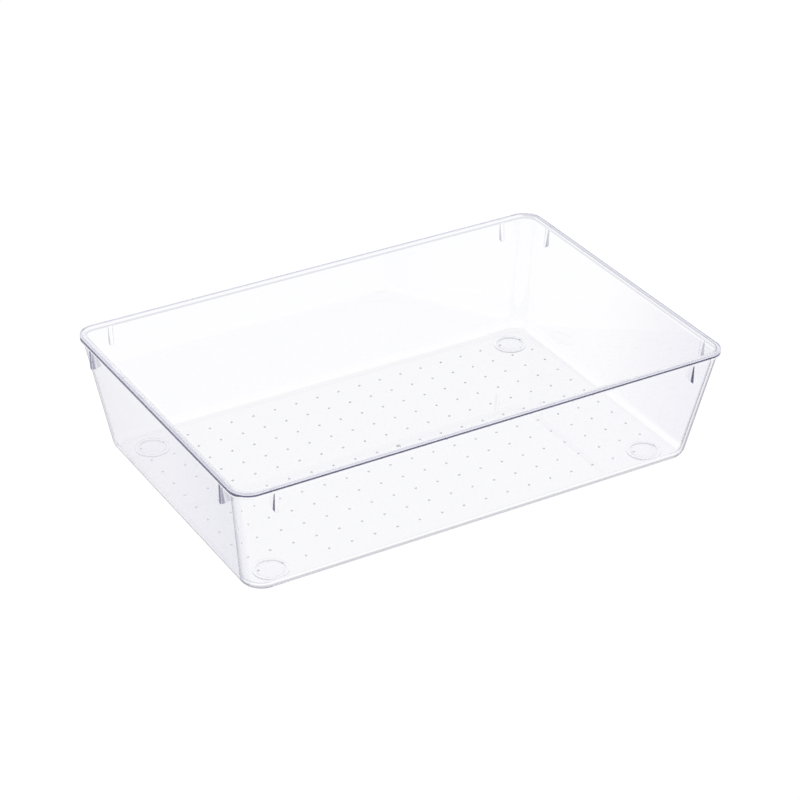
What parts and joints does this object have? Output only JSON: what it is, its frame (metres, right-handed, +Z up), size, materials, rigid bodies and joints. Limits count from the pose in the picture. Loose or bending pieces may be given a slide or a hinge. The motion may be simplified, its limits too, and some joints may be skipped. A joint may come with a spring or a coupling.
{
  "type": "drawer organizer insert",
  "caption": "Clear open rectangular tray with leaning walls, a narrow rim, stacking ribs, a pipped floor and round grip pads.",
  "frame": {"origin": "middle of the surface that the grip pads rest on, under the middle of the tray", "axes": "+Z up, +X along the tray's length to the right, +Y across the tray from the front to the back"},
  "size_m": [0.229, 0.1522, 0.055],
  "materials": {
    "clear_plastic": "clear injection-moulded polystyrene, polished, with a faint lavender cast",
    "pad_silicone": "translucent silicone, satin"
  },
  "bodies": {
    "root": {"tray": "clear_plastic", "grip_pad_front_left": "pad_silicone", "grip_pad_front_right": "pad_silicone", "grip_pad_back_left": "pad_silicone", "grip_pad_back_right": "pad_silicone"}
  },
  "joints": []
}
